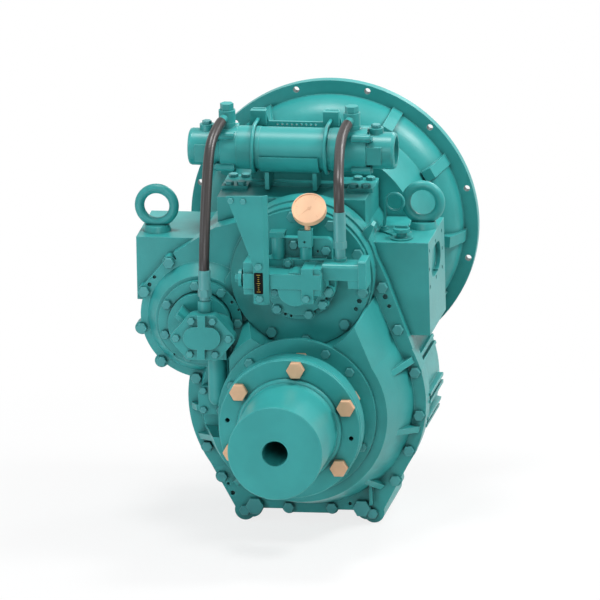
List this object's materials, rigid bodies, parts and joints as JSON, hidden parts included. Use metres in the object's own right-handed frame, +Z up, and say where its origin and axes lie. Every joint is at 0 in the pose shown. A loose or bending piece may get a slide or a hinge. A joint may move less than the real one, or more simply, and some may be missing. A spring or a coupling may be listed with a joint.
{
  "type": "marine reversing gearbox",
  "caption": "Marine reversing gearbox with an engine bell housing, two clutch shafts, an oil pump, a control valve, an oil cooler on top and a solid output half-coupling.",
  "frame": {"origin": "centre of the engine flange, on the input axis at the face that bolts to the engine", "axes": "+Y to the engine, +Z up, +X to the right for someone behind the gearbox who looks forward"},
  "size_m": [0.6127, 0.772, 0.794],
  "materials": {
    "teal_paint": "semi-gloss enamel",
    "hose_rubber": "satin",
    "plated_bolts": "yellow zinc plate",
    "gauge_dial": "matt",
    "gear_steel": "ground",
    "shaft_steel": "turned",
    "bearing_steel": "polished",
    "clutch_lining": "matt",
    "seal_rubber": "satin",
    "copper_tube": "drawn"
  },
  "bodies": {
    "housing": {"banjo_fittings": "teal_paint", "bell_housing": "teal_paint", "bracket_bolts": "teal_paint", "bracket_plate": "teal_paint", "case_bolts": "teal_paint", "cooler_bolts": "teal_paint", "cooler_bracket": "teal_paint", "cooler_cap_left": "teal_paint", "cooler_cap_right": "teal_paint", "cooler_shell": "teal_paint", "cooler_straps": "teal_paint", "cooler_tubes": "copper_tube", "cover_bolts": "teal_paint", "filler_fittings": "teal_paint", "gauge_block": "teal_paint", "gauge_case": "gauge_dial", "gauge_face": "gauge_dial", "hose_ferrules": "teal_paint", "input_bearing_cover": "teal_paint", "input_rear_cover": "teal_paint", "lifting_eyes": "teal_paint", "main_case": "teal_paint", "oil_pump_body": "teal_paint", "oil_pump_cover": "teal_paint", "output_bearing_cover": "teal_paint", "plugs": "teal_paint", "pump_bolts": "teal_paint", "pump_hose": "hose_rubber", "rear_case": "teal_paint", "regulating_cylinder": "teal_paint", "reverse_rear_cover": "teal_paint", "shaft_bearings": "bearing_steel", "shaft_seals": "seal_rubber", "suction_elbow": "teal_paint", "valve_body": "teal_paint", "valve_bolts": "teal_paint", "valve_end_cover": "teal_paint", "valve_hose": "hose_rubber"},
    "input": {"input_shaft": "shaft_steel", "input_clutch_gear": "gear_steel", "ahead_steel_plates": "gear_steel"},
    "reverse": {"reverse_shaft": "shaft_steel", "reverse_clutch_gear": "gear_steel", "astern_steel_plates": "gear_steel", "pump_drive_gear": "gear_steel"},
    "pump_idler": {"pump_idler_gear": "gear_steel"},
    "ahead_pinion": {"ahead_pinion": "gear_steel", "ahead_friction_plates": "clutch_lining"},
    "astern_pinion": {"astern_pinion": "gear_steel", "astern_friction_plates": "clutch_lining"},
    "output": {"output_shaft": "shaft_steel", "output_gear": "gear_steel", "companion_flange": "teal_paint", "coupling_nose": "teal_paint", "coupling_bolts": "plated_bolts"},
    "ahead_piston": {"ahead_piston": "gear_steel"},
    "astern_piston": {"astern_piston": "gear_steel"},
    "spool": {"valve_spool": "teal_paint"},
    "dipstick": {"dipstick": "teal_paint"},
    "filler_cap": {"filler_cap": "teal_paint"}
  },
  "joints": [
    {"name": "input_spin", "type": "hinge", "parent": "housing", "child": "input", "pos_m": [0, -0.3, 0], "axis": [0, 1, 0], "continuous": true},
    {"name": "reverse_spin", "type": "hinge", "parent": "housing", "child": "reverse", "pos_m": [-0.19516, -0.3, -0.09257], "axis": [0, 1, 0], "continuous": true},
    {"name": "pump_idler_spin", "type": "hinge", "parent": "housing", "child": "pump_idler", "pos_m": [-0.15703, -0.484, -0.09793], "axis": [0, 1, 0], "continuous": true},
    {"name": "output_spin", "type": "hinge", "parent": "housing", "child": "output", "pos_m": [0, -0.4, -0.252], "axis": [0, 1, 0], "continuous": true},
    {"name": "ahead_pinion_spin", "type": "hinge", "parent": "housing", "child": "ahead_pinion", "pos_m": [0, -0.3, 0], "axis": [0, 1, 0], "continuous": true},
    {"name": "astern_pinion_spin", "type": "hinge", "parent": "housing", "child": "astern_pinion", "pos_m": [-0.19516, -0.3, -0.09257], "axis": [0, 1, 0], "continuous": true},
    {"name": "ahead_piston_stroke", "type": "slide", "parent": "input", "child": "ahead_piston", "axis": [0, -1, 0], "range_m": [0, 0.006]},
    {"name": "astern_piston_stroke", "type": "slide", "parent": "reverse", "child": "astern_piston", "axis": [0, -1, 0], "range_m": [0, 0.006]},
    {"name": "spool_turn", "type": "hinge", "parent": "housing", "child": "spool", "pos_m": [-0.03, -0.528, 0.0265], "axis": [1, 0, 0], "range_deg": [-30, 30]},
    {"name": "dipstick_pull", "type": "slide", "parent": "housing", "child": "dipstick", "axis": [0, 0, 1], "range_m": [0, 0.045]},
    {"name": "filler_cap_lift", "type": "slide", "parent": "housing", "child": "filler_cap", "axis": [0, 0, 1], "range_m": [0, 0.05]}
  ],
  "couplings": [
    {"joint": "reverse_spin", "follows": "input_spin", "ratio": -1},
    {"joint": "pump_idler_spin", "follows": "input_spin", "ratio": 1},
    {"joint": "ahead_pinion_spin", "follows": "output_spin", "ratio": -2.5},
    {"joint": "astern_pinion_spin", "follows": "output_spin", "ratio": -2.5}
  ]
}
